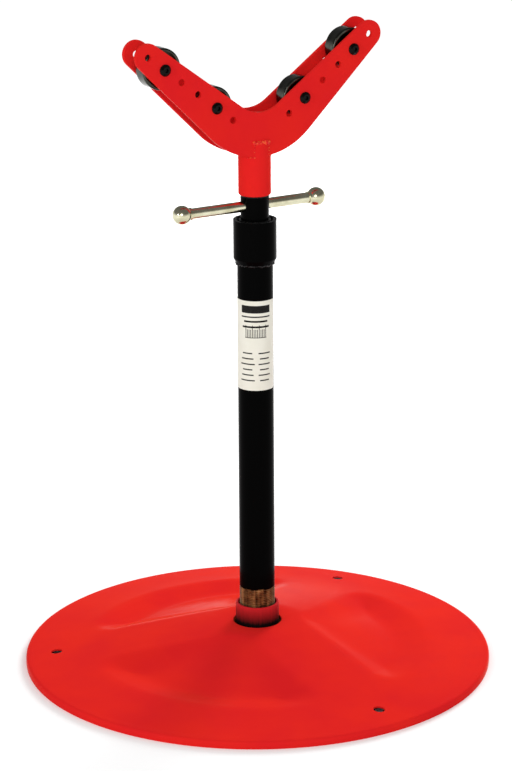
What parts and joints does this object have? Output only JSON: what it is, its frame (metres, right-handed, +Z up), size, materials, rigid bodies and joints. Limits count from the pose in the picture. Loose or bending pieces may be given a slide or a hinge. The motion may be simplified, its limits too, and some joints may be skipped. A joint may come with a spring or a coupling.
{
  "type": "pipe stand",
  "caption": "Floor-standing pipe stand with a round pressed base, a post with a screw-driven lift tube and turning bar, and a swivelling V head with steel rollers.",
  "frame": {"origin": "on the floor, under the axis of the post, at the centre of the base", "axes": "+Z up along the post; X along the head's plates and the turning bar; Y along the supported pipe"},
  "size_m": [0.5588, 0.5588, 0.7616],
  "materials": {
    "red_paint": "glossy red enamel",
    "black_paint": "glossy black enamel",
    "bright_steel": "zinc plated, turned and polished",
    "oiled_steel": "bare steel with cutting oil",
    "black_oxide": "black oxide",
    "roller_steel": "dark oiled steel, turned",
    "bronze": "sintered bronze"
  },
  "bodies": {
    "stand": {"base_dish": "red_paint", "hub_plate": "red_paint", "hub_plate_welds": "red_paint", "base_collar": "red_paint", "collar_weld": "red_paint", "post_pipe": "black_paint", "top_coupling": "black_paint", "coupling_weld": "black_paint", "guide_bush": "bronze", "bottom_plug": "oiled_steel", "lift_screw": "oiled_steel"},
    "lift_carrier": {"thrust_washer": "black_oxide"},
    "lift_tube_assembly": {"lift_tube": "black_paint", "lift_nut": "oiled_steel", "stop_ring": "black_paint", "pivot_plug": "oiled_steel"},
    "turning_bar": {"handle_bar": "bright_steel", "handle_ball_left": "bright_steel", "handle_ball_right": "bright_steel"},
    "head": {"head_neck": "red_paint", "front_plate": "red_paint", "rear_plate": "red_paint", "neck_welds": "red_paint", "axle_bolts": "black_oxide", "axle_nuts": "black_oxide", "side_washers": "black_oxide"},
    "wheel_left_inner": {"roller_left_inner": "roller_steel", "roller_bush_left_inner": "bronze"},
    "wheel_left_outer": {"roller_left_outer": "roller_steel", "roller_bush_left_outer": "bronze"},
    "wheel_right_inner": {"roller_right_inner": "roller_steel", "roller_bush_right_inner": "bronze"},
    "wheel_right_outer": {"roller_right_outer": "roller_steel", "roller_bush_right_outer": "bronze"}
  },
  "joints": [
    {"name": "lift", "type": "slide", "parent": "stand", "child": "lift_carrier", "axis": [0, 0, 1], "range_m": [0, 0.4064]},
    {"name": "screw_turn", "type": "hinge", "parent": "lift_carrier", "child": "lift_tube_assembly", "pos_m": [0, 0, 0.5688], "axis": [0, 0, 1], "range_deg": [0, 28800]},
    {"name": "bar_slide", "type": "slide", "parent": "lift_tube_assembly", "child": "turning_bar", "axis": [1, 0, 0], "range_m": [-0.054, 0.0674]},
    {"name": "head_swivel", "type": "hinge", "parent": "lift_carrier", "child": "head", "pos_m": [0, 0, 0.5688], "axis": [0, 0, 1], "continuous": true},
    {"name": "roller_left_inner_spin", "type": "hinge", "parent": "head", "child": "wheel_left_inner", "pos_m": [-0.05774, 0, 0.67992], "axis": [0, 1, 0], "continuous": true},
    {"name": "roller_left_outer_spin", "type": "hinge", "parent": "head", "child": "wheel_left_outer", "pos_m": [-0.12332, 0, 0.72981], "axis": [0, 1, 0], "continuous": true},
    {"name": "roller_right_inner_spin", "type": "hinge", "parent": "head", "child": "wheel_right_inner", "pos_m": [0.05774, 0, 0.67992], "axis": [0, 1, 0], "continuous": true},
    {"name": "roller_right_outer_spin", "type": "hinge", "parent": "head", "child": "wheel_right_outer", "pos_m": [0.12332, 0, 0.72981], "axis": [0, 1, 0], "continuous": true}
  ],
  "couplings": [
    {"joint": "lift", "follows": "screw_turn", "m_per_rad": 0.00080851}
  ]
}
